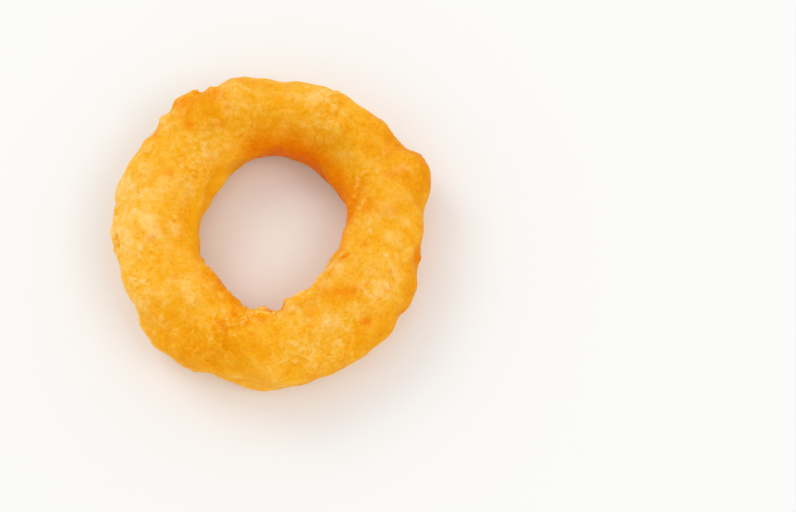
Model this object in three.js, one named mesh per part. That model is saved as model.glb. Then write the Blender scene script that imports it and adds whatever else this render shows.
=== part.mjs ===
// One battered and fried onion ring, lying flat. Millimetres, +Z up.
// The ring is a single solid: a fat, slightly uneven torus of batter round a slice of
// onion, with a lumpy skin and a narrow flat spot all round its underside, where it rests.
// The origin is on that flat spot's plane, under the middle of the ring's box.

import * as THREE from 'three';
import { mergeVertices } from 'three/addons/utils/BufferGeometryUtils.js';

// ---- driving dimensions -------------------------------------------------------------
const OUTER_RADIUS = 41.24;      // mean radius of the outer edge
const HOLE_RADIUS = 19.64;       // mean radius of the hole
const HALF_HEIGHT = 10.3;        // half of the tube's height before the underside settles
const MID_HEIGHT = 9.7;          // height of the tube's middle: the rest is the flat spot
const SECTION_POWER = 0.92;      // below 1 the tube's section is a little squarer than round
const STEPS_ROUND = 116;         // facets round the ring
const STEPS_SECTION = 40;        // facets round the tube
const LIMB_TILT = THREE.MathUtils.degToRad(16);   // how the wall bumps climb from front to back
const LIMB_SPREAD = 0.75;        // how far a wall bump reaches round the tube, radians

// The edges are not quite circles: [cosine, sine] of the first five turns, in mm.
const OUTER_WOBBLE = [[0.22, 0.31], [-1.08, 0.24], [0.22, 0.2], [-0.31, -0.37], [0.08, -0.19]];
const HOLE_WOBBLE = [[0.47, 0.7], [-0.94, 1.02], [0.27, 0.62], [1.03, 0.22], [0.19, -0.43]];
const HEIGHT_WOBBLE = [[0.25, -0.15], [-0.2, 0.22], [0.12, 0.1]];

// Where the batter ran thick or thin on the outer wall: degrees round the ring from +X,
// width in degrees, and how far it stands proud in mm. The first is the large lump.
const OUTER_BUMPS = [
  [21, 6, 4.78], [51, 6, -1.71], [102, 8, 1.5], [123, 4, 1.54], [138, 4, -1.01], [165, 4, 2.36],
  [189, 4, 0.65], [213, 4, -1.56], [234, 4, -0.97], [252, 8, -3.15], [318, 4, 1.55], [348, 4, -0.88],
];
// The same on the wall of the hole: a plus widens the hole there.
const HOLE_BUMPS = [
  [21, 6, 1.35], [96, 12, -0.05], [186, 6, -0.87], [222, 12, -1.2], [267, 6, -1.64],
  [285, 6, -0.8], [312, 12, 1.79],
];

// Batter lumps all over: [seed, size of a lump in mm, height in mm, number of waves].
const LUMPS = [[11, 15.0, 0.42, 14], [29, 6.6, 0.20, 24]];

// ---- helpers ------------------------------------------------------------------------
function randoms(seed) {
  let s = seed >>> 0;
  const next = () => {
    s = (Math.imul(s, 1664525) + 1013904223) >>> 0;
    return s / 4294967296;
  };
  for (let i = 0; i < 5; i++) next();
  return next;
}

// A smooth uneven field in space: a sum of plane waves in all directions.
function waveField([seed, size, height, count]) {
  const next = randoms(seed);
  const waves = [];
  for (let i = 0; i < count; i++) {
    const z = 2 * next() - 1;
    const turn = 2 * Math.PI * next();
    const flat = Math.sqrt(Math.max(0, 1 - z * z));
    const k = (2 * Math.PI) / (size * (0.75 + 0.55 * next()));
    waves.push([k * flat * Math.cos(turn), k * flat * Math.sin(turn), k * z, 2 * Math.PI * next()]);
  }
  const scale = height * Math.sqrt(2 / count);
  return (p) => {
    let sum = 0;
    for (const [x, y, z, phase] of waves) sum += Math.sin(p.x * x + p.y * y + p.z * z + phase);
    return sum * scale;
  };
}

function wobble(mean, terms, turn) {
  return terms.reduce(
    (sum, [c, s], i) => sum + c * Math.cos((i + 1) * turn) + s * Math.sin((i + 1) * turn), mean);
}

const wrap = (a) => THREE.MathUtils.euclideanModulo(a + Math.PI, 2 * Math.PI) - Math.PI;
const signedPower = (v, power) => Math.sign(v) * Math.abs(v) ** power;
const fields = LUMPS.map(waveField);

function wallBumps(list, middle, sign, turn, section) {
  let sum = 0;
  for (const [at, width, height] of list) {
    const a = THREE.MathUtils.degToRad(at);
    const across = wrap(turn - a) / THREE.MathUtils.degToRad(width);
    const along = wrap(section - middle - LIMB_TILT * Math.sin(a)) / LIMB_SPREAD;
    sum += sign * height * Math.exp(-(across * across + along * along) / 2);
  }
  return sum;
}

// One point of the skin: turn goes round the ring, section round the tube.
function skinPoint(turn, section) {
  const outer = wobble(OUTER_RADIUS, OUTER_WOBBLE, turn);
  const hole = wobble(HOLE_RADIUS, HOLE_WOBBLE, turn);
  const path = (outer + hole) / 2;
  const halfWidth = (outer - hole) / 2;
  const halfHeight = wobble(HALF_HEIGHT, HEIGHT_WOBBLE, turn);
  const c = Math.cos(section);
  const s = Math.sin(section);
  const radius = path + halfWidth * signedPower(c, SECTION_POWER);
  const point = new THREE.Vector3(
    radius * Math.cos(turn), radius * Math.sin(turn),
    MID_HEIGHT + halfHeight * signedPower(s, SECTION_POWER));
  const out = new THREE.Vector2(c / halfWidth, s / halfHeight).normalize();
  const normal = new THREE.Vector3(out.x * Math.cos(turn), out.x * Math.sin(turn), out.y);

  let proud = fields.reduce((sum, field) => sum + field(point), 0);
  proud += wallBumps(OUTER_BUMPS, 0, 1, turn, section);
  proud += wallBumps(HOLE_BUMPS, Math.PI, -1, turn, section);
  proud *= 0.3 + 0.7 * THREE.MathUtils.smoothstep(s, -0.97, -0.55);   // calmer underneath
  point.addScaledVector(normal, proud);
  point.z = Math.max(point.z, 0);                                     // settled flat spot
  return point;
}

// ---- the ring -----------------------------------------------------------------------
function ringGeometry() {
  const positions = [];
  const index = [];
  for (let i = 0; i < STEPS_ROUND; i++) {
    for (let j = 0; j < STEPS_SECTION; j++) {
      const p = skinPoint((2 * Math.PI * i) / STEPS_ROUND, (2 * Math.PI * j) / STEPS_SECTION);
      positions.push(p.x, p.y, p.z);
    }
  }
  const at = (i, j) => (i % STEPS_ROUND) * STEPS_SECTION + (j % STEPS_SECTION);
  for (let i = 0; i < STEPS_ROUND; i++) {
    for (let j = 0; j < STEPS_SECTION; j++) {
      const a = at(i, j), b = at(i + 1, j), c = at(i + 1, j + 1), d = at(i, j + 1);
      index.push(a, b, c, a, c, d);
    }
  }
  const raw = new THREE.BufferGeometry();
  raw.setAttribute('position', new THREE.Float32BufferAttribute(positions, 3));
  raw.setIndex(index);
  const geometry = mergeVertices(raw, 1e-5);
  geometry.computeBoundingBox();
  const { min, max } = geometry.boundingBox;
  geometry.translate(-(min.x + max.x) / 2, -(min.y + max.y) / 2, -min.z);
  geometry.computeVertexNormals();
  return geometry;
}

const batter = new THREE.MeshStandardMaterial({ color: 0xf3ab36, roughness: 0.6, metalness: 0 });
const ring = new THREE.Mesh(ringGeometry(), batter);
ring.name = 'onion_ring';

const group = new THREE.Group();
group.add(ring);

export default group;
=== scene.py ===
"""One battered, deep-fried onion ring on a pale floor.

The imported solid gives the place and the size. The crust here is built on the same shape:
the ring's uneven outline and its lumps, then the batter's relief in four finer sizes, crags
and ridges at their own places and small nodules fused on, remeshed into one closed skin.
Lengths are in millimetres until the mesh is made, which is in metres.
"""
import math

import bmesh
import bpy
import numpy as np
from mathutils import Matrix


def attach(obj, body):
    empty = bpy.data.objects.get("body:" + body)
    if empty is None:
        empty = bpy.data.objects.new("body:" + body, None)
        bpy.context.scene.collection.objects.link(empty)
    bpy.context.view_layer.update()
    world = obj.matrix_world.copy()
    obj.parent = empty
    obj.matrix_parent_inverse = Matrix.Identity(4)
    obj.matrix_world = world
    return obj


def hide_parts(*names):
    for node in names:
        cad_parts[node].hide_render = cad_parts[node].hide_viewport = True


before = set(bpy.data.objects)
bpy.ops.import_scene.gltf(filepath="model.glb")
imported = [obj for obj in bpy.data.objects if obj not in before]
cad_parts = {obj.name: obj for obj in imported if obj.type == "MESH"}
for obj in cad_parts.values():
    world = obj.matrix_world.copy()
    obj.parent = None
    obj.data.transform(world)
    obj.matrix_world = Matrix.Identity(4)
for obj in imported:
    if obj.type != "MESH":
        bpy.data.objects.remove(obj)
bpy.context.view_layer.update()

# ---- the ring's shape, as the solid has it (mm) -----------------------------------------
OUTER_RADIUS, HOLE_RADIUS = 41.24, 19.64
HALF_HEIGHT, MID_HEIGHT = 10.3, 9.7
SECTION_POWER = 0.92
STEPS_ROUND, STEPS_SECTION = 116, 40
LIMB_TILT, LIMB_SPREAD = math.radians(16), 0.75
OUTER_WOBBLE = ((0.22, 0.31), (-1.08, 0.24), (0.22, 0.2), (-0.31, -0.37), (0.08, -0.19))
HOLE_WOBBLE = ((0.47, 0.7), (-0.94, 1.02), (0.27, 0.62), (1.03, 0.22), (0.19, -0.43))
HEIGHT_WOBBLE = ((0.25, -0.15), (-0.2, 0.22), (0.12, 0.1))
OUTER_BUMPS = (
    (21, 6, 4.78), (51, 6, -1.71), (102, 8, 1.5), (123, 4, 1.54), (138, 4, -1.01), (165, 4, 2.36),
    (189, 4, 0.65), (213, 4, -1.56), (234, 4, -0.97), (252, 8, -3.15), (318, 4, 1.55), (348, 4, -0.88),
)
HOLE_BUMPS = (
    (21, 6, 1.35), (96, 12, -0.05), (186, 6, -0.87), (222, 12, -1.2), (267, 6, -1.64),
    (285, 6, -0.8), (312, 12, 1.79),
)
LUMPS = ((11, 15.0, 0.42, 14), (29, 6.6, 0.20, 24))


def randoms(seed):
    s = seed & 0xFFFFFFFF
    for _ in range(5):
        s = (s * 1664525 + 1013904223) & 0xFFFFFFFF
    while True:
        s = (s * 1664525 + 1013904223) & 0xFFFFFFFF
        yield s / 4294967296.0


def wave_field(seed, size, height, count):
    """A smooth uneven field: the same sum of plane waves as the solid's."""
    g = randoms(seed)
    waves = []
    for _ in range(count):
        z = 2 * next(g) - 1
        turn = 2 * math.pi * next(g)
        flat = math.sqrt(max(0.0, 1 - z * z))
        k = 2 * math.pi / (size * (0.75 + 0.55 * next(g)))
        waves.append((k * flat * math.cos(turn), k * flat * math.sin(turn), k * z, 2 * math.pi * next(g)))
    waves = np.array(waves)
    return lambda p: np.sin(p @ waves[:, :3].T + waves[:, 3]).sum(-1) * height * math.sqrt(2 / count)


LUMP_FIELDS = [wave_field(*each) for each in LUMPS]


def wobble(mean, terms, turn):
    total = np.full_like(turn, mean)
    for i, (c, s) in enumerate(terms):
        total += c * np.cos((i + 1) * turn) + s * np.sin((i + 1) * turn)
    return total


def wrap(a):
    return (a + np.pi) % (2 * np.pi) - np.pi


def smoothstep(low, high, x):
    t = np.clip((x - low) / (high - low), 0, 1)
    return t * t * (3 - 2 * t)


def wall_bumps(bumps, middle, sign, turn, section):
    total = np.zeros_like(turn)
    for at, width, height in bumps:
        a = math.radians(at)
        across = wrap(turn - a) / math.radians(width)
        along = wrap(section - middle - LIMB_TILT * math.sin(a)) / LIMB_SPREAD
        total += sign * height * np.exp(-(across**2 + along**2) / 2)
    return total


def tube(turn):
    """The tube's path radius, half width and half height at a turn."""
    outer, hole = wobble(OUTER_RADIUS, OUTER_WOBBLE, turn), wobble(HOLE_RADIUS, HOLE_WOBBLE, turn)
    return (outer + hole) / 2, (outer - hole) / 2, wobble(HALF_HEIGHT, HEIGHT_WOBBLE, turn)


def skin(turn, section):
    """The solid's skin, before it is centred: points and outward directions."""
    path, half_w, half_h = tube(turn)
    c, s = np.cos(section), np.sin(section)
    radius = path + half_w * np.sign(c) * np.abs(c) ** SECTION_POWER
    z = MID_HEIGHT + half_h * np.sign(s) * np.abs(s) ** SECTION_POWER
    p = np.stack([radius * np.cos(turn), radius * np.sin(turn), z], -1)
    nx, nz = c / half_w, s / half_h
    size = np.hypot(nx, nz)
    nx, nz = nx / size, nz / size
    n = np.stack([nx * np.cos(turn), nx * np.sin(turn), nz], -1)
    proud = sum(field(p) for field in LUMP_FIELDS)
    proud = proud + wall_bumps(OUTER_BUMPS, 0.0, 1, turn, section)
    proud = proud + wall_bumps(HOLE_BUMPS, math.pi, -1, turn, section)
    proud = proud * (0.3 + 0.7 * smoothstep(-0.97, -0.55, s))
    return p + n * proud[..., None], n


def grid(rows, columns):
    turn = np.linspace(0, 2 * np.pi, rows, endpoint=False)[:, None] + np.zeros((1, columns))
    section = np.linspace(0, 2 * np.pi, columns, endpoint=False)[None, :] + np.zeros((rows, 1))
    return turn, section


coarse = skin(*grid(STEPS_ROUND, STEPS_SECTION))[0].reshape(-1, 3)
CENTRE = np.array([*(coarse.min(0) + coarse.max(0))[:2] / 2, 0.0])   # the solid's own shift

# ---- noise ------------------------------------------------------------------------------


def hashed(ix, iy, iz, seed):
    with np.errstate(over="ignore"):
        h = (ix.astype(np.uint32) * np.uint32(0x8DA6B343)) ^ (iy.astype(np.uint32) * np.uint32(0xD8163841))
        h ^= (iz.astype(np.uint32) * np.uint32(0xCB1AB31F)) ^ np.uint32((seed * 0x9E3779B1) & 0xFFFFFFFF)
        h ^= h >> np.uint32(15)
        h *= np.uint32(0x2C1B3C6D)
        h ^= h >> np.uint32(12)
        h *= np.uint32(0x297A2D39)
        h ^= h >> np.uint32(15)
    return h


def unit(h):
    return (h & np.uint32(0xFFFFFF)).astype(np.float64) / 16777215.0


def gradient_noise(p, seed):
    """Perlin-like noise, about -1 to 1, one cell to a unit."""
    base = np.floor(p).astype(np.int64)
    f = p - base
    w = f * f * f * (f * (f * 6 - 15) + 10)
    total = np.zeros(len(p))
    for dx in (0, 1):
        for dy in (0, 1):
            for dz in (0, 1):
                h = hashed(base[:, 0] + dx, base[:, 1] + dy, base[:, 2] + dz, seed)
                gx = unit(h) * 2 - 1
                gy = unit(h * np.uint32(747796405) + np.uint32(17)) * 2 - 1
                gz = unit(h * np.uint32(277803737) + np.uint32(91)) * 2 - 1
                dot = gx * (f[:, 0] - dx) + gy * (f[:, 1] - dy) + gz * (f[:, 2] - dz)
                weight = (w[:, 0] if dx else 1 - w[:, 0]) * (w[:, 1] if dy else 1 - w[:, 1]) * (w[:, 2] if dz else 1 - w[:, 2])
                total += dot * weight
    return total * 1.6


def fbm(p, size, seed, octaves=3, gain=0.5):
    total, amount, norm = 0.0, 1.0, 0.0
    for o in range(octaves):
        total = total + amount * gradient_noise(p / size * 2**o + 13.7 * o, seed + 101 * o)
        norm += amount
        amount *= gain
    return total / norm


def cells(p, size, seed):
    """Distance to the nearest and second nearest scattered centres, in cells, and the nearest's own number."""
    q = p / size
    base = np.floor(q).astype(np.int64)
    f1, f2, own = np.full(len(p), 9.0), np.full(len(p), 9.0), np.zeros(len(p))
    for dx in (-1, 0, 1):
        for dy in (-1, 0, 1):
            for dz in (-1, 0, 1):
                cx, cy, cz = base[:, 0] + dx, base[:, 1] + dy, base[:, 2] + dz
                h = hashed(cx, cy, cz, seed)
                px = cx + unit(h)
                py = cy + unit(h * np.uint32(747796405) + np.uint32(17))
                pz = cz + unit(h * np.uint32(277803737) + np.uint32(91))
                d = np.sqrt((px - q[:, 0]) ** 2 + (py - q[:, 1]) ** 2 + (pz - q[:, 2]) ** 2)
                nearer = d < f1
                f2 = np.where(nearer, f1, np.minimum(f2, d))
                own = np.where(nearer, unit(h * np.uint32(1181783497) + np.uint32(5)), own)
                f1 = np.where(nearer, d, f1)
    return f1, f2, own


# ---- places on the ring -----------------------------------------------------------------
# Each is (degrees round the ring, degrees round the tube). 0 round the tube faces out,
# 90 up and 180 into the hole.


def spot(turn, section, at, radius, stretch=1.0):
    """1 at a place on the skin, falling off over radius mm; stretch widens it round the ring."""
    path, half_w, _ = tube(turn)
    a, b = math.radians(at[0]), math.radians(at[1])
    across = wrap(turn - a) * (path + half_w * np.cos(section)) / (radius * stretch)
    along = wrap(section - b) * 10.5 / radius
    return np.exp(-(across**2 + along**2) / 2)


def ridge(turn, section, start, end, radius):
    """1 along a line on the skin between two places, falling off over radius mm."""
    path, half_w, _ = tube(turn)
    a0, b0, a1, b1 = (math.radians(v) for v in (*start, *end))
    scale = path + half_w * math.cos((b0 + b1) / 2)
    px, py = wrap(turn - a0) * scale, wrap(section - b0) * 10.5
    dx, dy = wrap(a1 - a0) * scale, wrap(b1 - b0) * 10.5
    t = np.clip((px * dx + py * dy) / (dx * dx + dy * dy), 0, 1)
    return np.exp(-((px - t * dx) ** 2 + (py - t * dy) ** 2) / (2 * radius**2))


# ---- meshes -----------------------------------------------------------------------------


def mesh_of(name, points, faces):
    """A mesh from points and a list of face arrays, each with faces of one size."""
    me = bpy.data.meshes.new(name)
    me.vertices.add(len(points))
    me.vertices.foreach_set("co", np.asarray(points, np.float32).ravel())
    sizes = np.concatenate([np.full(len(f), f.shape[1]) for f in faces])
    corners = np.concatenate([f.ravel() for f in faces])
    me.loops.add(len(corners))
    me.loops.foreach_set("vertex_index", corners.astype(np.int32))
    me.polygons.add(len(sizes))
    me.polygons.foreach_set("loop_start", np.concatenate([[0], np.cumsum(sizes)[:-1]]).astype(np.int32))
    me.update(calc_edges=True)
    me.validate()
    return me


def vertex_array(me, what="co"):
    found = np.empty(len(me.vertices) * 3, np.float32)
    if what == "co":
        me.vertices.foreach_get("co", found)
    else:
        me.vertex_normals.foreach_get("vector", found)
    return found.reshape(-1, 3).astype(np.float64)


def grid_faces(rows, columns):
    i, j = np.meshgrid(np.arange(rows), np.arange(columns), indexing="ij")
    at = lambda a, b: (a % rows) * columns + (b % columns)
    return np.stack([at(i, j), at(i + 1, j), at(i + 1, j + 1), at(i, j + 1)], -1).reshape(-1, 4)


def grid_normals(p):
    """Outward normals of a closed grid of points."""
    du = np.roll(p, -1, 0) - np.roll(p, 1, 0)
    dv = np.roll(p, -1, 1) - np.roll(p, 1, 1)
    n = np.cross(du, dv)
    return n / np.linalg.norm(n, axis=-1, keepdims=True)


ROWS, COLUMNS = ((1000, 330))
VOXEL = 0.36
MOST_TRIANGLES = 192000
turn, section = grid(ROWS, COLUMNS)
points, _ = skin(turn, section)
normals = grid_normals(points)
t, s, p = turn.ravel(), section.ravel(), points.reshape(-1, 3)



def roughness(p, t, s):
    """Where the batter is rough and craggy, 0 to 1."""
    rough = np.clip(0.34 + 0.75 * fbm(p, 15.0, 3, 2), 0, 0.62)
    for place, radius, amount in (
        ((128, 20), 8, 0.85), ((184, 20), 7, 0.85), ((270, 165), 6, 0.85), ((300, 155), 6, 0.85),
        ((24, 20), 6, 0.7), ((236, 150), 5, 0.7), ((8, 135), 5, 0.6), ((338, 0), 5, 0.6),
        ((254, 108), 4, 0.8), ((263, 135), 4, 0.85), ((281, 135), 3.5, 0.75), ((208, 60), 4, 0.7),
    ):
        rough = np.maximum(rough, amount * spot(t, s, place, radius))
    return rough


rough = roughness(p, t, s)

# Knobs, notches and nubs at their own places: (place, radius, height) in mm.
KNOBS = (
    ((125.0, 15), 1.1, 0.7), ((118.4, 23), 0.75, 1.0), ((115.8, 32), 0.9, -0.9), ((128.7, 22), 1.2, -3.2),
    ((133, 16), 1.1, 0.7), ((137, 20), 1.0, -0.5), ((127.3, 50), 1.2, 0.4), ((139.5, 14), 1.2, 0.4),
    ((143.8, 19), 1.2, 0.5), ((112.6, 26), 0.9, 0.7), ((121.5, 30), 1.3, 0.3), ((108, 20), 1.6, -0.4),
    ((181.4, 14), 0.8, 0.15), ((184.6, 32), 0.8, -0.8), ((185.2, 12), 1.0, -0.3), ((188.6, 13), 0.8, 0.45),
    ((193.8, 8), 1.6, -0.3), ((187.8, 36), 0.8, -0.6), ((186.2, 24), 0.6, 0.5), ((183.4, 44), 0.9, 0.4),
    ((191.0, 30), 0.9, 0.4), ((200, 20), 1.0, 0.3), ((172, 12), 1.1, 0.5), ((166, 30), 1.2, 0.4),
    ((218, 10), 1.0, 0.4), ((222, 16), 0.9, 0.5), ((215.5, 26), 1.0, 0.5), ((226.5, 12), 0.9, 0.35),
    ((27, 8), 1.5, 1.1), ((13.5, 4), 2.0, 1.0), ((25.5, 44), 1.8, 0.5), ((18, 24), 1.4, 0.3),
    ((22.5, 8), 1.5, 0.4), ((350, -2), 0.8, 0.7), ((333, -5), 1.2, 0.2), ((330.5, 2), 1.1, 0.2), ((244, -6), 3.0, 0.2),
    ((3, 0), 3.0, 0.3), ((298, 163), 4.5, -0.2), ((270, 165), 4.5, -1.1), ((334, 165), 3.0, -0.6),
    ((269.8, 166), 1.8, 1.7), ((262.6, 163), 1.3, -2.2), ((277.2, 165), 1.4, -2.1), ((280.4, 166), 0.9, -1.8),
    ((283.8, 170), 0.9, 1.8), ((290.0, 166), 1.4, 0.7), ((295.5, 162), 1.0, 0.7), ((300.5, 156), 1.0, 0.8),
    ((278.0, 186), 2.0, -0.6),
    ((308, 148), 0.9, 0.4), ((316.5, 150), 1.0, 0.5), ((328, 165), 1.0, 0.4), ((339, 173), 1.0, 0.6),
    ((261, 152), 1.0, 0.6), ((314, 165), 3.5, -0.4), ((348, 165), 2.5, 0.35), ((104, 18), 1.6, 0.2),
    ((252, 158), 1.0, 0.5), ((242, 150), 1.1, 0.4), ((238, 71), 1.8, -0.45), ((315, 48), 0.7, -0.35),
    ((337, 133), 0.8, -0.3), ((20, 55), 3.2, -0.8), ((34, 42), 2.2, 0.5), ((5, 40), 2.2, 0.5),
    ((347, 112.5), 0.9, -0.35), ((250.2, 103), 0.8, -0.35), ((254.5, 127), 0.9, -0.45), ((279.5, 129), 0.9, 0.5),
    ((285.2, 157), 0.8, 0.5), ((270, 128), 0.9, -0.4), ((256, 96), 0.9, 0.4), ((229, 30), 1.4, 0.5),
    ((236, 40), 1.2, 0.3), ((213, 70), 1.0, 0.4), ((221, 80), 0.9, 0.35), ((230, 98), 1.0, 0.35),
)
# Flaky ridges: (start, end, radius, height).
RIDGES = (
    ((27, 99), (24, 125), 0.55, 0.55), ((24, 125), (18, 142), 0.5, 0.35), ((15.5, 106), (11, 128), 0.6, 0.6),
    ((11, 128), (9, 146), 0.5, 0.4), ((354, 107), (349, 113), 0.55, 0.45),
    ((31, 63), (28.5, 80), 0.5, 0.4), ((247, 84), (244, 104), 0.5, 0.3), ((287, 128), (292, 146), 0.5, 0.35),
    ((150, 40), (146, 62), 0.55, 0.35), ((205, 52), (209, 70), 0.5, 0.3), ((66, 60), (60, 78), 0.5, 0.25),
    ((249, 90), (252.5, 101), 0.5, 0.45), ((252.5, 101), (259, 115), 0.55, 0.5),
    ((259, 115), (264.2, 134), 0.6, 0.55), ((264.2, 134), (268, 144), 0.6, 0.35), ((272, 146), (280, 140), 0.6, 0.45),
    ((181, 52), (187, 44), 0.5, 0.35), ((192, 76), (197, 70), 0.45, 0.3), ((103, 60), (98, 72), 0.45, 0.25),
)


def flakes(p, t, s):
    """All the ridges, wandering and broken up into crumbs: a height in mm."""
    bend = [fbm(p, 2.4, 71 + k, 3) for k in range(2)]
    total = np.zeros(len(p))
    for start, end, radius, height in RIDGES:
        total += height * ridge(t + 0.05 * bend[0], s + 0.14 * bend[1], start, end, radius)
    return 1.5 * total * smoothstep(-0.15, 0.4, fbm(p, 1.25, 73, 2))


lift = 0.20 * fbm(p, 8.0, 5, 2)                                    # broad dimples
warp = np.stack([fbm(p, 4.0, 61 + k, 3) for k in range(3)], -1)    # so that no size looks regular
q = p + 1.1 * warp
f1, f2, own = cells(q, 2.6, 7)
lift += (0.05 + 0.12 * rough) * (np.exp(-(f1 / 0.5) ** 2) - 0.35) * (0.2 + 1.3 * own)     # soft blisters
f1, f2, own = cells(q, 1.35, 8)
lift += (0.03 + 0.15 * rough) * (np.exp(-(f1 / 0.5) ** 2) - 0.3) * (0.3 + 1.2 * own)      # pimples
f1, f2, own = cells(q, 6.5, 10)
lift -= np.where(own > 0.65, 0.2, 0.0) * np.exp(-(f1 / 0.1) ** 2)                         # burst bubbles
lift += (0.10 + 0.18 * rough) * fbm(q, 2.2, 9, 3, 0.6)                                     # grain
crumbly = smoothstep(0.45, 0.8, rough)
lift += 0.34 * crumbly * np.maximum(fbm(p, 1.5, 13, 2) - 0.05, 0) ** 0.7                   # crumbs
crag = np.zeros(len(p))
for place, radius, height in KNOBS:
    crag += height * spot(t, s, place, radius)
flaky = flakes(p, t, s)
lift += crag * (1 + 0.4 * fbm(p, 1.6, 12, 2)) + flaky

calm = 0.25 + 0.75 * smoothstep(-0.99, -0.8, np.sin(s))            # calmer where it rests
points = points + normals * (lift * calm).reshape(ROWS, COLUMNS, 1)


def nodules(count, seed):
    """Small uneven crumbs of batter sunk in the skin, more of them where it is rough."""
    rng = np.random.default_rng(seed)
    bm = bmesh.new()
    bmesh.ops.create_icosphere(bm, subdivisions=2, radius=1.0)
    ball = np.array([v.co[:] for v in bm.verts])
    ball_faces = np.array([[v.index for v in f.verts] for f in bm.faces])
    bm.free()
    path, half_w, _ = tube(t)
    area = (path + half_w * np.cos(s)) * smoothstep(-0.9, -0.3, np.sin(s))
    chance = area * ((0.08 + rough) ** 4 + 0.8 * np.clip(2 * flaky, 0, 1))
    picks = rng.choice(len(p), count, p=chance / chance.sum())
    # None on the smooth lip at the back of the hole, nor on the lip's bump in front.
    bare = np.maximum(spot(t, s, (78, 168), 8, 1.7), spot(t, s, (270, 168), 2.4))
    picks = picks[bare[picks] < 0.5]
    at, out = points.reshape(-1, 3)[picks], normals.reshape(-1, 3)[picks]
    all_points, all_faces = [], []
    for k in range(len(picks)):
        size = 0.30 + 0.75 * rng.random() ** 2.5
        # A flattish crumb lying along the skin, its edges broken by noise.
        aside = np.cross(out[k], rng.normal(size=3))
        aside /= np.linalg.norm(aside)
        spin = np.stack([aside, np.cross(out[k], aside), out[k]])
        shape = ball * (rng.uniform(0.9, 1.7), rng.uniform(0.6, 1.1), rng.uniform(0.45, 0.75))
        shape = shape * (1 + 0.55 * gradient_noise(ball * 1.7 + rng.uniform(0, 50, 3), 33))[:, None]
        all_points.append(shape @ spin * size + at[k] + out[k] * size * rng.uniform(-0.35, 0.05))
        all_faces.append(ball_faces + k * len(ball))
    return np.concatenate(all_points), np.concatenate(all_faces)


grains, grain_faces = nodules(420, 4)
body = mesh_of(
    "onion_ring_skin",
    (np.concatenate([points.reshape(-1, 3), grains]) - CENTRE) * 0.001,
    [grid_faces(ROWS, COLUMNS), grain_faces + ROWS * COLUMNS],
)
raw = bpy.data.objects.new("onion_ring_raw", body)
bpy.context.scene.collection.objects.link(raw)
mod = raw.modifiers.new("skin", "REMESH")
mod.mode = "VOXEL"
mod.voxel_size = VOXEL * 0.001
mod.adaptivity = 0
mod.use_smooth_shade = True
bpy.context.view_layer.update()
crust_mesh = bpy.data.meshes.new_from_object(raw.evaluated_get(bpy.context.evaluated_depsgraph_get()))
bpy.data.objects.remove(raw)
bpy.data.meshes.remove(body)
crust_mesh.name = "onion_ring_crust"

# ---- fine relief and what the colours read, on the remeshed skin -------------------------
co = vertex_array(crust_mesh) * 1000 + CENTRE
no = vertex_array(crust_mesh, "normal")
edges = np.empty(len(crust_mesh.edges) * 2, np.int32)
crust_mesh.edges.foreach_get("vertices", edges)
edges = edges.reshape(-1, 2)
degree = np.bincount(edges.ravel(), minlength=len(co))[:, None].astype(np.float64)


def relaxed(values, times):
    out = values
    for _ in range(times):
        near = np.zeros_like(out)
        for k in range(out.shape[1]):
            near[:, k] = (np.bincount(edges[:, 0], out[edges[:, 1], k], len(out))
                          + np.bincount(edges[:, 1], out[edges[:, 0], k], len(out)))
        out = 0.4 * out + 0.6 * near / degree
    return out


fine = 0.06 * fbm(co, 0.85, 21, 2)
co = co + no * (fine * (0.3 + 0.7 * smoothstep(0.0, 1.2, co[:, 2])))[:, None]
co[:, 2] = np.maximum(co[:, 2], 0.0)

turn_v = np.arctan2(co[:, 1], co[:, 0])
path_v, half_w_v, half_h_v = tube(turn_v)
section_v = np.arctan2((co[:, 2] - MID_HEIGHT) / half_h_v, (np.hypot(co[:, 0], co[:, 1]) - path_v) / half_w_v)
near = relaxed(co, 9)
wide = relaxed(near, 52)
relief_fine = ((co - near) * no).sum(1)
relief_wide = ((near - wide) * no).sum(1)
rough_v = roughness(wide, turn_v, section_v)
crust_mesh.vertices.foreach_set("co", ((co - CENTRE) * 0.001).astype(np.float32).ravel())
crust_mesh.update()


def attribute(me, name, values):
    a = me.attributes.new(name, "FLOAT", "POINT")
    a.data.foreach_set("value", np.asarray(values, np.float32))


# Browner spots: (place, radius in mm, strength). The rest are scattered.
BROWN = (
    ((315, 48), 0.8, 1.0), ((336.8, 133), 0.9, 0.9), ((310, 110), 1.2, 0.4), ((317, 97), 1.2, 0.3),
    ((296, 103), 1.0, 0.45), ((152.5, 98), 0.9, 0.6), ((128.2, 73), 0.9, 0.6), ((108.8, 83), 0.9, 0.5),
    ((123.4, 44), 1.3, 0.5), ((125.4, 54), 1.4, 0.4), ((127.5, 79), 0.9, 0.4), ((98.8, 88.5), 0.3, 1.0),
    ((31, 63), 1.5, 0.35), ((20, 58), 1.5, 0.4), ((138.2, 33), 1.2, 0.45), ((141, 38), 1.4, 0.3),
    ((124.2, 36), 1.2, 0.25), ((112.8, 53), 1.6, 0.45), ((109.2, 62), 1.3, 0.35), ((21, 74), 1.2, 0.4),
    ((186, 20), 0.8, 0.4), ((8, 112), 1.4, 0.35), ((4, 82), 1.5, 0.35), ((343, 148), 0.9, 0.5),
    ((189, 92), 0.8, 0.5), ((350, -5), 1.3, 1.0), ((214, 105), 0.9, 0.4), ((127.2, 24), 1.0, 0.3),
    ((254.5, 127), 0.8, 0.55), ((250.2, 104), 0.8, 0.55), ((337.2, 61.5), 0.5, 0.5), ((330, 54.7), 0.45, 0.45),
    ((327.2, 81), 0.5, 0.4), ((347, 112.5), 0.8, 0.35), ((270, 128), 0.9, 0.4), ((221.5, 52), 1.0, 0.4),
)
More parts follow.
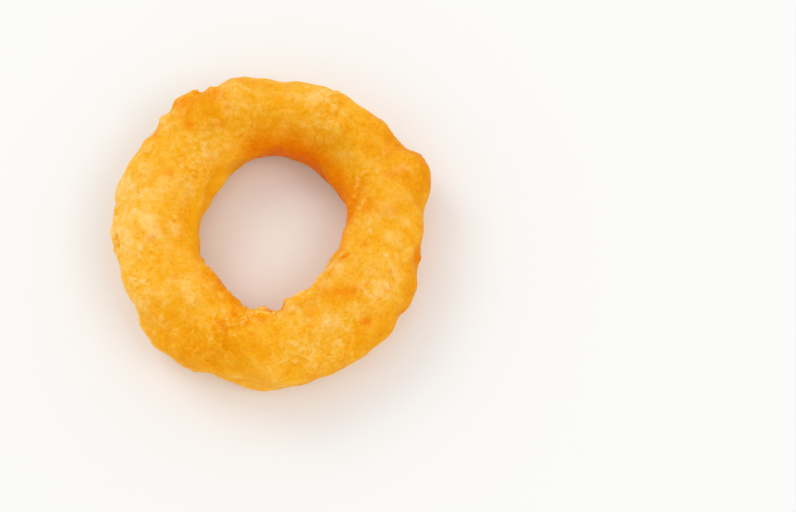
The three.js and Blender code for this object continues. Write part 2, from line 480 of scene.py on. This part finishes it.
# Browner streaks: (start, end, radius, strength).
STREAKS = (
    ((314.8, 100.5), (321.8, 84), 0.7, 0.5), ((246, 58), (250, 66), 0.6, 0.3), ((120, 96), (112, 104), 0.8, 0.3),
    ((22, 112), (18, 132), 0.6, 0.4), ((12, 112), (7, 128), 0.6, 0.3), ((258, 108), (262, 122), 0.5, 0.3),
)
# Broader patches: a duller ochre, partly the crust's own colour and partly painted shade, most over the top of the
# hole's back wall and on the outside at the right; and paler ones as a shift of the tone.
OCHRE_AND_SHADE = (
    ((94, 100), 4.2, 0.40), ((76, 110), 4.0, 0.45), ((60, 105), 4.0, 0.50), ((104, 22), 4.0, 0.45),
    ((226, 48), 6.0, 0.35), ((240, 42), 6.5, 0.65), ((255, 84), 3.6, 0.75), ((246, 62), 3.0, 0.40),
    ((20, 12), 5.5, 0.45), ((38, 44), 5.5, 0.75), ((46, 84), 3.5, 0.50), ((264, 38), 4.0, 0.30),
    ((336, 14), 4.5, 0.40), ((238, 71), 1.8, 0.50), ((124, 64), 3.5, 0.45), ((10, 60), 2.5, 0.45),
    ((118, 40), 4.5, 0.40), ((332, 94), 3.0, 0.50), ((316, 90), 2.5, 0.35), ((60, 60), 4.0, 0.10),
    ((92, 48), 4.0, 0.60), ((126, 46), 4.5, 0.50), ((248, 36), 5.0, 0.30), ((270, 84), 3.0, 0.45),
    ((303, 106), 4.0, 0.60), ((2, 84), 3.0, 0.40), ((30, 82), 2.5, 0.50), ((150, 86), 4.0, 0.30),
    ((182, 112), 3.5, 0.35), ((204, 108), 3.0, 0.20), ((186, 28), 1.0, 0.60), ((184.5, 36), 0.8, 0.60),
    ((302, 168), 5.5, -0.60),
)
# The paler patches are partly the crust's own colour and partly painted light, as on the outer left and on the hole's
# inner lip at the front right.
PATCHES = (
    ((240, 45), 6.5, -0.12), ((255, 86), 3.8, -0.12), ((316, 102), 2.4, -0.06), ((123, 40), 3.5, -0.10),
    ((134, 125), 4.5, 0.14), ((149, 136), 5.0, 0.13), ((121, 150), 3.0, 0.24), ((166, 74), 6.0, 0.16),
    ((181, 76), 5.5, 0.28), ((197, 96), 5.0, 0.15), ((226, 130), 4.5, 0.20), ((300, 148), 3.6, 0.12),
    ((300, 70), 5.0, 0.12), ((332, 128), 4.5, 0.20), ((330, 62), 4.5, 0.16), ((331, 48), 3.0, 0.10),
    ((346, 88), 5.5, 0.05), ((357, 120), 4.5, 0.20), ((15, 118), 3.0, 0.10), ((284, 66), 3.5, 0.14),
    ((92, 56), 3.2, -0.20), ((120, 47), 3.0, -0.12), ((30, 42), 3.2, -0.14), ((168, 28), 6.0, 0.22),
    ((60, 81), 4.0, 0.14), ((205, 26), 5.0, 0.08), ((174, 60), 4.0, 0.08), ((238, 108), 4.5, 0.18),
    ((2, 134), 3.2, 0.22), ((212, 92), 4.0, 0.13), ((188, 40), 5.0, 0.10), ((34, 110), 3.5, 0.13),
    ((58, 48), 4.0, 0.12), ((90, 30), 3.4, 0.45), ((132, 160), 3.5, 0.10), ((160, 158), 4.0, 0.10),
    ((32, 68), 2.5, 0.12), ((150, 26), 4.0, 0.12), ((118.2, 24), 1.8, 0.30), ((132.5, 34), 2.2, 0.26),
    ((134.3, 48), 2.0, 0.16), ((278.5, 165), 2.2, 0.20), ((300, 46), 4.0, 0.10), ((333, 38), 3.0, 0.12),
)
brown, ochre_and_shade, shift = np.zeros(len(co)), np.zeros(len(co)), np.zeros(len(co))
edge = 0.7 * np.stack([fbm(co, 4.0, 51 + k, 3) for k in range(2)], -1)     # frays the patches
for place, radius, amount in BROWN:
    brown += amount * spot(turn_v + edge[:, 0] * 0.02, section_v + edge[:, 1] * 0.08, place, radius)
for start, end, radius, amount in STREAKS:
    brown += amount * ridge(turn_v + edge[:, 0] * 0.02, section_v + edge[:, 1] * 0.08, start, end, radius)
for place, radius, amount in OCHRE_AND_SHADE:
    ochre_and_shade += amount * spot(turn_v + edge[:, 0] * 0.07, section_v + edge[:, 1] * 0.25, place, radius)
for place, radius, amount in PATCHES:
    shift += amount * spot(turn_v + edge[:, 0] * 0.07, section_v + edge[:, 1] * 0.25, place, radius)
brown *= 1 + 0.7 * fbm(co, 1.6, 41, 2)
ochre_and_shade *= 1 + 0.9 * fbm(co, 3.2, 43, 3)
ochre_and_shade += 0.45 * smoothstep(0.15, 0.5, fbm(co, 9.0, 44, 3))
shift *= 1 + 0.8 * fbm(co, 3.0, 42, 3)
# The flaky ridges are paler, partly paler crust and partly a painted highlight on them.
shift += 0.30 * flakes(co, turn_v, section_v)
# Paler tips on the crumbs where the skin is rough, a painted highlight, with the creases beside them left more orange.
shift += 0.16 * smoothstep(0.3, 0.8, relief_fine / 0.10) * smoothstep(0.35, 0.7, rough_v)
# Painted shade: the wall of the hole is painted a deeper gold where it lies in shade, most at the back, and so is the
# outside at the right. The skin over the back wall is painted a little darker too.
inward, degrees = -np.cos(section_v), np.degrees(turn_v)
back_wall = smoothstep(-25, 62, degrees) * (1 - smoothstep(84, 124, degrees))
painted_shade_deep = np.minimum(1.45 * np.maximum(inward, 0) ** 2.8, 1.22) * (0.06 + 0.94 * back_wall)
painted_shade_deep *= smoothstep(-0.95, -0.15, np.sin(section_v))                  # fades out low in the hole
right_side = (0.5 + 0.5 * np.cos(turn_v - math.radians(-8))) ** 3
# Painted shade also on the outside at the right, on the front wall of the hole and on its right wall.
painted_shade_deep += 0.42 * smoothstep(0.45, 1.0, -inward) * right_side
front_wall = np.exp(-((degrees + 124) / 20) ** 2)
painted_shade_deep += 0.65 * smoothstep(0.45, 0.95, inward) * front_wall
painted_shade_deep += 0.20 * smoothstep(0.6, 0.95, inward) * np.exp(-((degrees - 2) / 12) ** 2)
# Painted shade: the hole's wall, except at the front and the right, also loses blue, for the shade and orange bounce
# inside the hole.
painted_shade_gold = painted_shade_deep + 0.50 * smoothstep(0.70, 1.0, inward) * (1 - smoothstep(-105, -85, degrees) * (1 - smoothstep(30, 50, degrees)))
painted_shade_gold += 0.34 * smoothstep(0.6, 1.0, -inward) * right_side
# Painted shade, taken off the colour's brightness: over the back of the hole, on the outside at the right, on the
# hole's front wall and at the upper left. The negative terms are painted light: the inner lip at the front right, the
# rest of the hole's wall and the outside at the left.
shade = smoothstep(-0.2, 0.5, inward) * (
    0.07 * smoothstep(30, 50, degrees) * (1 - smoothstep(95, 120, degrees)) + 0.10 * np.exp(-((degrees - 43) / 18) ** 2))
shade += 0.09 * smoothstep(0.65, 1.0, -inward) * right_side + 0.09 * smoothstep(0.6, 1.0, inward) * front_wall
shade += 0.08 * np.exp(-((degrees - 118) / 14) ** 2 - ((inward - 0.2) / 0.35) ** 2)
shade += 0.06 * smoothstep(0.6, 0.95, inward) * np.exp(-((degrees - 2) / 12) ** 2)
shade += 0.03 * smoothstep(0.2, 0.7, inward) * np.exp(-((degrees - 92) / 16) ** 2)
shade -= 0.09 * smoothstep(0.5, 0.95, inward) * np.exp(-((degrees + 60) / 18) ** 2)
shade -= 0.04 * np.maximum(np.cos(turn_v - math.radians(174)), 0) ** 6 * np.exp(-((inward + 0.15) / 0.5) ** 2)
shade -= 0.04 * smoothstep(0.4, 0.9, -inward) * np.exp(-((degrees - 122) / 20) ** 2)
shade -= 0.04 * smoothstep(0.45, 0.9, inward) * (1 - back_wall) * (1 - front_wall)
shade -= 0.04 * smoothstep(0.45, 0.9, -inward) * np.maximum(np.cos(turn_v - math.radians(-140)), 0)
attribute(crust_mesh, "relief_fine", np.clip(0.5 + relief_fine / 0.12, 0.08, 1))
attribute(crust_mesh, "relief_wide", np.clip(0.5 + relief_wide / 0.5, 0.2, 1))
attribute(crust_mesh, "brown", np.clip(brown, 0, 1))
attribute(crust_mesh, "shift", 0.5 * np.tanh(shift / 0.5))
attribute(crust_mesh, "painted_shade_deep", np.clip(painted_shade_deep, 0, 1.3))
attribute(crust_mesh, "painted_shade_gold", np.clip(painted_shade_gold, 0, 1.7))
attribute(crust_mesh, "shade", shade)
attribute(crust_mesh, "ochre_and_shade", np.clip(ochre_and_shade, 0, 1))
attribute(crust_mesh, "rough", rough_v)

# Fewer triangles where the skin is smooth. The attributes go along with the vertices kept.
triangles = 2 * len(crust_mesh.polygons)
if triangles > MOST_TRIANGLES:
    dense = bpy.data.objects.new("onion_ring_dense", crust_mesh)
    bpy.context.scene.collection.objects.link(dense)
    mod = dense.modifiers.new("fewer", "DECIMATE")
    mod.decimate_type = "COLLAPSE"
    mod.ratio = MOST_TRIANGLES / triangles
    bpy.context.view_layer.update()
    fewer = bpy.data.meshes.new_from_object(dense.evaluated_get(bpy.context.evaluated_depsgraph_get()))
    bpy.data.objects.remove(dense)
    bpy.data.meshes.remove(crust_mesh)
    crust_mesh = fewer
    crust_mesh.name = "onion_ring_crust"
    co = vertex_array(crust_mesh) * 1000 + CENTRE
    co[:, 2] = np.maximum(co[:, 2], 0.0)
    crust_mesh.vertices.foreach_set("co", ((co - CENTRE) * 0.001).astype(np.float32).ravel())
    crust_mesh.update()
    turn_v = np.arctan2(co[:, 1], co[:, 0])
    path_v, half_w_v, half_h_v = tube(turn_v)
    section_v = np.arctan2((co[:, 2] - MID_HEIGHT) / half_h_v, (np.hypot(co[:, 0], co[:, 1]) - path_v) / half_w_v)


def torus_map(me, turns, sections):
    """A bake map: round the ring in two strips, one above the other, with a margin at each cut."""
    loops = np.empty(len(me.loops), np.int32)
    me.loops.foreach_get("vertex_index", loops)
    start = np.empty(len(me.polygons), np.int32)
    count = np.empty(len(me.polygons), np.int32)
    me.polygons.foreach_get("loop_start", start)
    me.polygons.foreach_get("loop_total", count)
    face = np.repeat(np.arange(len(start)), count)
    a, b = turns[loops], sections[loops]
    first_a, first_b = a[start][face], b[start][face]
    a = first_a + wrap(a - first_a)
    b = first_b + wrap(b - first_b)
    mid_a = np.add.reduceat(a, start) / count
    strip = (mid_a >= 0)[face]                       # from -180 to 0 and from 0 to 180 degrees
    u = np.where(strip, a, a + np.pi) / np.pi
    v = (b + np.pi) / (2 * np.pi)
    u = 0.01 + 0.98 * u
    v = 0.012 + 0.476 * v + np.where(strip, 0.5, 0.0)
    layer = me.uv_layers.new(name="OFBake", do_init=False)
    layer.uv.foreach_set("vector", np.stack([u, v], -1).astype(np.float32).ravel())


torus_map(crust_mesh, turn_v, section_v)
crust = bpy.data.objects.new("onion_ring_crust", crust_mesh)
bpy.context.scene.collection.objects.link(crust)
crust_mesh.polygons.foreach_set("use_smooth", np.ones(len(crust_mesh.polygons), bool))

# ---- materials --------------------------------------------------------------------------


class Nodes:
    def __init__(self, material):
        material.use_nodes = True
        self.tree = material.node_tree
        self.tree.nodes.clear()

    def add(self, kind, **settings):
        node = self.tree.nodes.new(kind)
        for key, value in settings.items():
            setattr(node, key, value)
        return node

    def link(self, a, b):
        self.tree.links.new(a, b)

    def put(self, socket, value):
        if hasattr(value, "is_linked") or hasattr(value, "links"):
            self.link(value, socket)
        else:
            socket.default_value = value

    def noise(self, where, scale, detail=2.0, rough=0.5, distortion=0.0):
        n = self.add("ShaderNodeTexNoise")
        self.link(where, n.inputs["Vector"])
        n.inputs["Scale"].default_value = scale
        n.inputs["Detail"].default_value = detail
        n.inputs["Roughness"].default_value = rough
        n.inputs["Distortion"].default_value = distortion
        return n.outputs["Fac"]

    def math(self, what, a, b=0.0, c=0.0, clamp=False):
        n = self.add("ShaderNodeMath", operation=what, use_clamp=clamp)
        for socket, value in zip(n.inputs, (a, b, c)):
            self.put(socket, value)
        return n.outputs[0]

    def attribute(self, name):
        return self.add("ShaderNodeAttribute", attribute_name=name).outputs["Fac"]

    def ramp(self, fac, stops, mode="LINEAR"):
        n = self.add("ShaderNodeValToRGB")
        n.color_ramp.interpolation = mode
        e = n.color_ramp.elements
        while len(e) < len(stops):
            e.new(0.5)
        for item, (at, colour) in zip(e, stops):
            item.position = at
            item.color = (*colour, 1)
        self.link(fac, n.inputs[0])
        return n.outputs["Color"]

    def span(self, value, low, high, to_low=0.0, to_high=1.0, kind="SMOOTHSTEP"):
        n = self.add("ShaderNodeMapRange", interpolation_type=kind)
        self.put(n.inputs["Value"], value)
        n.inputs["From Min"].default_value = low
        n.inputs["From Max"].default_value = high
        n.inputs["To Min"].default_value = to_low
        n.inputs["To Max"].default_value = to_high
        return n.outputs["Result"]

    def mix(self, fac, a, b, blend="MIX"):
        n = self.add("ShaderNodeMix", data_type="RGBA", blend_type=blend)
        self.put(n.inputs[0], fac)
        for socket, value in ((n.inputs[6], a), (n.inputs[7], b)):
            if isinstance(value, tuple):
                socket.default_value = (*value, 1)
            else:
                self.link(value, socket)
        return n.outputs[2]


def batter_material():
    material = bpy.data.materials.new("fried_batter")
    n = Nodes(material)
    where = n.add("ShaderNodeTexCoord").outputs["Object"]
    sizes = {
        "broad": (n.noise(where, 50, 2.0, 0.5, 0.4), 0.38),        # noise, share of the tone
        "patch": (n.noise(where, 120, 2.0, 0.5, 0.8), 0.76),
        "middle": (n.noise(where, 270, 2.0, 0.55, 0.6), 0.76),
        "small": (n.noise(where, 650, 2.0, 0.6, 0.3), 0.66),
        "grain": (n.noise(where, 1800, 2.0, 0.6), 0.20),
    }
    # Raised skin is paler and hollows deeper orange: a painted highlight on the crests and painted shade in the
    # hollows.
    tone = n.math("MULTIPLY_ADD", n.attribute("relief_wide"), 0.20, 0.48 - 0.10)
    tone = n.math("MULTIPLY_ADD", n.attribute("relief_fine"), 0.38, n.math("ADD", tone, -0.19))
    tone = n.math("ADD", tone, n.attribute("shift"))
    busy = n.math("MULTIPLY_ADD", n.attribute("rough"), 1.5, 0.48)       # fine detail is stronger where it is rough
    for size, (noise, share) in sizes.items():
        # Quiet for the most part, with strong marks here and there.
        off = n.math("SUBTRACT", noise, 0.5)
        off = n.math("MULTIPLY", off, n.math("MULTIPLY_ADD", n.math("ABSOLUTE", off), 4.5, 0.45))
        if size in ("small", "grain"):
            off = n.math("MULTIPLY", off, busy)
        tone = n.math("MULTIPLY_ADD", off, share, tone)
    colour = n.ramp(n.math("MULTIPLY_ADD", tone, 0.7, 0.1, clamp=True), (
        (0.000, (0.858, 0.310, 0.0010)),
        (0.100, (0.872, 0.333, 0.0020)),
        (0.275, (0.900, 0.384, 0.0068)),
        (0.450, (0.926, 0.436, 0.0200)),
        (0.625, (0.943, 0.488, 0.0540)),
        (0.800, (0.955, 0.556, 0.1350)),
        (1.000, (0.963, 0.610, 0.2050)),
    ))
    # Crisp little flecks: pale ones drawn out along two directions, painted glints on the crumbs where the skin is
    # rough, and orange ones.
    pale_fleck_glint = 0.0
    for stretch, turned, seed in (((1.0, 0.38, 0.6), 0.5, 3.1), ((0.4, 1.0, 0.6), -0.3, 7.7)):
        m = n.add("ShaderNodeMapping")
        n.link(where, m.inputs["Vector"])
        m.inputs["Scale"].default_value = stretch
        m.inputs["Rotation"].default_value = (0.3, 0.2, turned)
        m.inputs["Location"].default_value = (seed, seed, seed)
        pale_fleck_glint = n.math("ADD", pale_fleck_glint, n.span(n.noise(m.outputs[0], 2100, 1.0, 0.5, 0.4), 0.63, 0.72), clamp=True)
    pale_fleck_glint = n.math("MULTIPLY", pale_fleck_glint, n.span(n.attribute("rough"), 0.35, 0.8, 0.10, 0.72))
    colour = n.mix(pale_fleck_glint, colour, (0.975, 0.620, 0.190))
    # Duller ochre patches, partly the crust's own colour and partly painted shade.
    colour = n.mix(n.attribute("ochre_and_shade"), colour, n.mix(1.0, colour, (0.93, 0.79, 0.26), "MULTIPLY"))
    speck = n.span(n.noise(where, 820, 1.0, 0.5, 0.8), 0.67, 0.77, 0.0, 0.65)
    colour = n.mix(n.math("MAXIMUM", speck, n.attribute("brown")), colour, (0.890, 0.245, 0.004))
    # The painted shade's deeper gold takes away green and, far more, blue. The painted shade and light, and a fine
    # noise painted as the shade of the finest crevices, take away or give back a little of all three.
    less = n.add("ShaderNodeCombineColor")
    less.inputs[0].default_value = 1.0
    n.link(n.math("POWER", 0.56, n.attribute("painted_shade_deep")), less.inputs[1])
    n.link(n.math("POWER", 0.06, n.attribute("painted_shade_gold")), less.inputs[2])
    colour = n.mix(1.0, colour, less.outputs[0], "MULTIPLY")
    crevice_shade_noise = n.noise(where, 1500, 2.0, 0.55, 0.3)
    light = n.math("SUBTRACT", n.span(crevice_shade_noise, 0.28, 0.62, 0.895, 1.01, "LINEAR"), n.attribute("shade"))
    even = n.add("ShaderNodeCombineColor")
    for socket in even.inputs[:3]:
        n.link(light, socket)
    colour = n.mix(1.0, colour, even.outputs[0], "MULTIPLY")

    # Small oily glints; the rest of the skin is nearly dull.
    wet = n.span(n.noise(where, 1150, 1.0, 0.5, 1.2), 0.66, 0.76)
    wet = n.math("MULTIPLY", wet, n.span(sizes["patch"][0], 0.42, 0.60, 0.25, 1.0))
    shader = n.add("ShaderNodeBsdfPrincipled")
    n.link(colour, shader.inputs["Base Color"])
    n.link(n.math("MULTIPLY_ADD", wet, -0.20, n.span(sizes["small"][0], 0.3, 0.7, 0.46, 0.66)), shader.inputs["Roughness"])
    shader.inputs["IOR"].default_value = 1.45
    shader.inputs["Specular IOR Level"].default_value = 0.07
    shader.inputs["Specular Tint"].default_value = (1.0, 0.66, 0.16, 1)
    n.link(n.math("MULTIPLY", wet, 0.50), shader.inputs["Coat Weight"])
    shader.inputs["Coat Roughness"].default_value = 0.28
    shader.inputs["Coat IOR"].default_value = 1.45
    shader.inputs["Subsurface Weight"].default_value = 0.25
    shader.inputs["Subsurface Radius"].default_value = (1.0, 0.45, 0.12)
    shader.inputs["Subsurface Scale"].default_value = 0.0008

    height = n.math("MULTIPLY_ADD", sizes["grain"][0], 0.45, sizes["small"][0])
    bump = n.add("ShaderNodeBump")
    bump.inputs["Strength"].default_value = 0.7
    bump.inputs["Distance"].default_value = 0.00032
    n.link(height, bump.inputs["Height"])
    n.link(bump.outputs["Normal"], shader.inputs["Normal"])
    out = n.add("ShaderNodeOutputMaterial")
    n.link(shader.outputs[0], out.inputs["Surface"])
    return material


batter = batter_material()
crust_mesh.materials.clear()
crust_mesh.materials.append(batter)

# ---- floor, light and camera ------------------------------------------------------------


def floor_material():
    material = bpy.data.materials.new("pale_floor")
    n = Nodes(material)
    shader = n.add("ShaderNodeBsdfPrincipled")
    shader.inputs["Base Color"].default_value = (0.88, 0.88, 0.87, 1)
    shader.inputs["Roughness"].default_value = 0.8
    shader.inputs["Specular IOR Level"].default_value = 0.2
    out = n.add("ShaderNodeOutputMaterial")
    n.link(shader.outputs[0], out.inputs["Surface"])
    return material


bm = bmesh.new()
bmesh.ops.create_circle(bm, cap_ends=True, segments=96, radius=6.0)
floor_mesh = bpy.data.meshes.new("floor")
bm.to_mesh(floor_mesh)
bm.free()
floor_mesh.materials.append(floor_material())
floor = bpy.data.objects.new("floor", floor_mesh)
floor.location.z = -0.00008
bpy.context.scene.collection.objects.link(floor)


def aimed(position, target=(0, 0, 0.01)):
    z = np.asarray(position, float) - np.asarray(target, float)
    z /= np.linalg.norm(z)
    x = np.cross((0, 0, 1), z)
    x /= np.linalg.norm(x)
    y = np.cross(z, x)
    m = Matrix(((x[0], y[0], z[0], position[0]), (x[1], y[1], z[1], position[1]), (x[2], y[2], z[2], position[2]), (0, 0, 0, 1)))
    return m


def area_light(name, position, size, watts, colour=(1, 1, 1)):
    light = bpy.data.lights.new(name, "AREA")
    light.shape = "DISK"
    light.size = size
    light.energy = watts
    light.color = colour
    o = bpy.data.objects.new(name, light)
    o.matrix_world = aimed(position)
    bpy.context.scene.collection.objects.link(o)


area_light("key", (-0.60, 0.60, 0.80), 0.6, 2.4, (1.0, 0.99, 0.97))
area_light("fill", (0.70, -0.25, 0.92), 0.6, 2.0, (1.0, 1.0, 1.0))

world = bpy.data.worlds.new("studio")
bpy.context.scene.world = world
world.use_nodes = True
background = world.node_tree.nodes.get("Background") or world.node_tree.nodes.new("ShaderNodeBackground")
background.inputs["Color"].default_value = (1.0, 1.0, 1.0, 1)
# A soft white room, a little brighter low down than overhead.
sky = world.node_tree.nodes.new("ShaderNodeTexCoord")
height = world.node_tree.nodes.new("ShaderNodeSeparateXYZ")
fade = world.node_tree.nodes.new("ShaderNodeMapRange")
fade.inputs["To Min"].default_value, fade.inputs["To Max"].default_value = 1.10, 0.77
world.node_tree.links.new(sky.outputs["Generated"], height.inputs[0])
world.node_tree.links.new(height.outputs["Z"], fade.inputs["Value"])
world.node_tree.links.new(fade.outputs["Result"], background.inputs["Strength"])

scene = bpy.context.scene
scene.view_settings.view_transform = "Standard"
scene.view_settings.look = "None"
scene.view_settings.exposure = 0.0
scene.view_settings.gamma = 1.0

# The camera looks down on the ring's shown side. The ring keeps the place and the size that
# it has in the picture's frame of 796 by 512, left of the middle.
ELEVATION = math.radians(74)
LENS, SENSOR, WIDTH, HEIGHT = 65.0, 36.0, 796, 512
SCALE = 82.0 / 314.0                       # mm to a pixel at the ring
RING_AT = (268.0, 232.0)                   # the ring's middle in the frame
distance = LENS / SENSOR * WIDTH * SCALE
right = np.array([1.0, 0.0, 0.0])
back = np.array([0.0, -math.cos(ELEVATION), math.sin(ELEVATION)])
up = np.cross(back, right)
eye = (np.array([0, 0, MID_HEIGHT]) + right * (WIDTH / 2 - RING_AT[0]) * SCALE
       + up * (RING_AT[1] - HEIGHT / 2) * SCALE + back * distance - CENTRE) * 0.001
camera_data = bpy.data.cameras.new("camera")
camera_data.lens = LENS
camera_data.sensor_width = SENSOR
camera_data.sensor_fit = "HORIZONTAL"
camera_data.clip_start = 0.01
camera_data.clip_end = 50
camera = bpy.data.objects.new("camera", camera_data)
camera.matrix_world = Matrix((
    (right[0], up[0], back[0], eye[0]), (right[1], up[1], back[1], eye[1]),
    (right[2], up[2], back[2], eye[2]), (0, 0, 0, 1)))
scene.collection.objects.link(camera)
scene.camera = camera

# ---- hand over --------------------------------------------------------------------------
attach(crust, "root")
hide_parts("onion_ring")

print("crust faces", len(crust_mesh.polygons), "triangles", sum(len(x.vertices) - 2 for x in crust_mesh.polygons))
